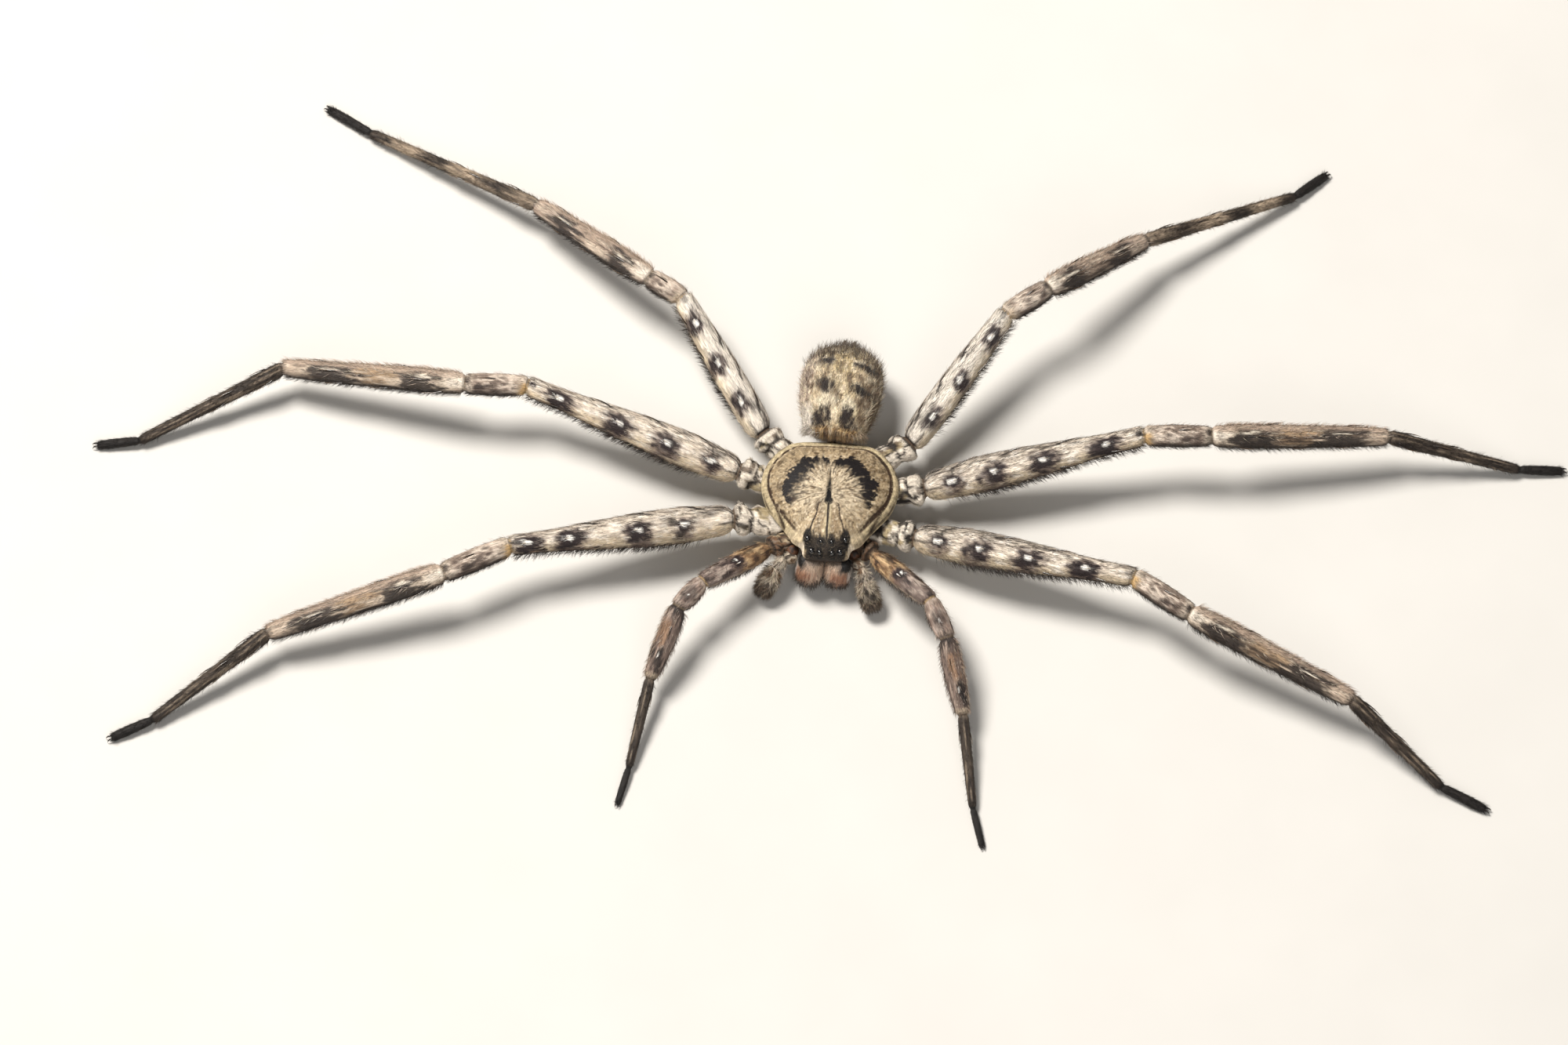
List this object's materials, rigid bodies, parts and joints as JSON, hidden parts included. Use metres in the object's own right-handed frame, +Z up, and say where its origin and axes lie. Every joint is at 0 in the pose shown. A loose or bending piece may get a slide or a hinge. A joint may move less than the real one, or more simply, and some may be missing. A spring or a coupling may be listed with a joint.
{
  "type": "huntsman spider",
  "caption": "Life-size male huntsman spider standing with its legs spread flat, spotted and banded legs, feathered crescents on the carapace, still display model.",
  "frame": {"origin": "bottom centre of the bounding box, on the floor under the middle of the leg span", "axes": "-Y is the way the spider faces, +X is its left, +Z is up from the floor"},
  "size_m": [0.1304, 0.0694, 0.0098],
  "materials": {
    "carapace_coat": "short tan hair, matt, with black feathered crescents",
    "abdomen_coat": "beige-grey felt of hair with dark brown spots",
    "leg_coat": "whitish-grey hair with black spots and bands",
    "foot_coat": "black-brown bristly hair",
    "underside": "pale grey cuticle with dark seams",
    "palp_coat": "brown and whitish hair",
    "jaw": "orange-brown cuticle with long hair",
    "fang": "glossy black-brown horn, also the claws",
    "eye": "polished black"
  },
  "bodies": {
    "root": {"abdomen": "abdomen_coat", "carapace": "carapace_coat", "chelicera_l": "jaw", "chelicera_r": "jaw", "eye_front_middle_l": "eye", "eye_front_middle_r": "eye", "eye_front_side_l": "eye", "eye_front_side_r": "eye", "eye_rear_middle_l": "eye", "eye_rear_middle_r": "eye", "eye_rear_side_l": "eye", "eye_rear_side_r": "eye", "fang_l": "fang", "fang_r": "fang", "leg_l1_femur": "leg_coat", "leg_l1_metatarsus": "foot_coat", "leg_l1_patella": "leg_coat", "leg_l1_tarsus": "foot_coat", "leg_l1_tibia": "leg_coat", "leg_l2_femur": "leg_coat", "leg_l2_metatarsus": "foot_coat", "leg_l2_patella": "leg_coat", "leg_l2_tarsus": "foot_coat", "leg_l2_tibia": "leg_coat", "leg_l3_femur": "leg_coat", "leg_l3_metatarsus": "foot_coat", "leg_l3_patella": "leg_coat", "leg_l3_tarsus": "foot_coat", "leg_l3_tibia": "leg_coat", "leg_l4_femur": "leg_coat", "leg_l4_metatarsus": "foot_coat", "leg_l4_patella": "leg_coat", "leg_l4_tarsus": "foot_coat", "leg_l4_tibia": "leg_coat", "leg_r1_femur": "leg_coat", "leg_r1_metatarsus": "foot_coat", "leg_r1_patella": "leg_coat", "leg_r1_tarsus": "foot_coat", "leg_r1_tibia": "leg_coat", "leg_r2_femur": "leg_coat", "leg_r2_metatarsus": "foot_coat", "leg_r2_patella": "leg_coat", "leg_r2_tarsus": "foot_coat", "leg_r2_tibia": "leg_coat", "leg_r3_femur": "leg_coat", "leg_r3_metatarsus": "foot_coat", "leg_r3_patella": "leg_coat", "leg_r3_tarsus": "foot_coat", "leg_r3_tibia": "leg_coat", "leg_r4_femur": "leg_coat", "leg_r4_metatarsus": "foot_coat", "leg_r4_patella": "leg_coat", "leg_r4_tarsus": "foot_coat", "leg_r4_tibia": "leg_coat", "palp_arm_l": "palp_coat", "palp_arm_r": "palp_coat", "palp_bulb_l": "palp_coat", "palp_bulb_r": "palp_coat", "spinnerets": "abdomen_coat", "sternum_coxae": "underside"}
  },
  "joints": []
}
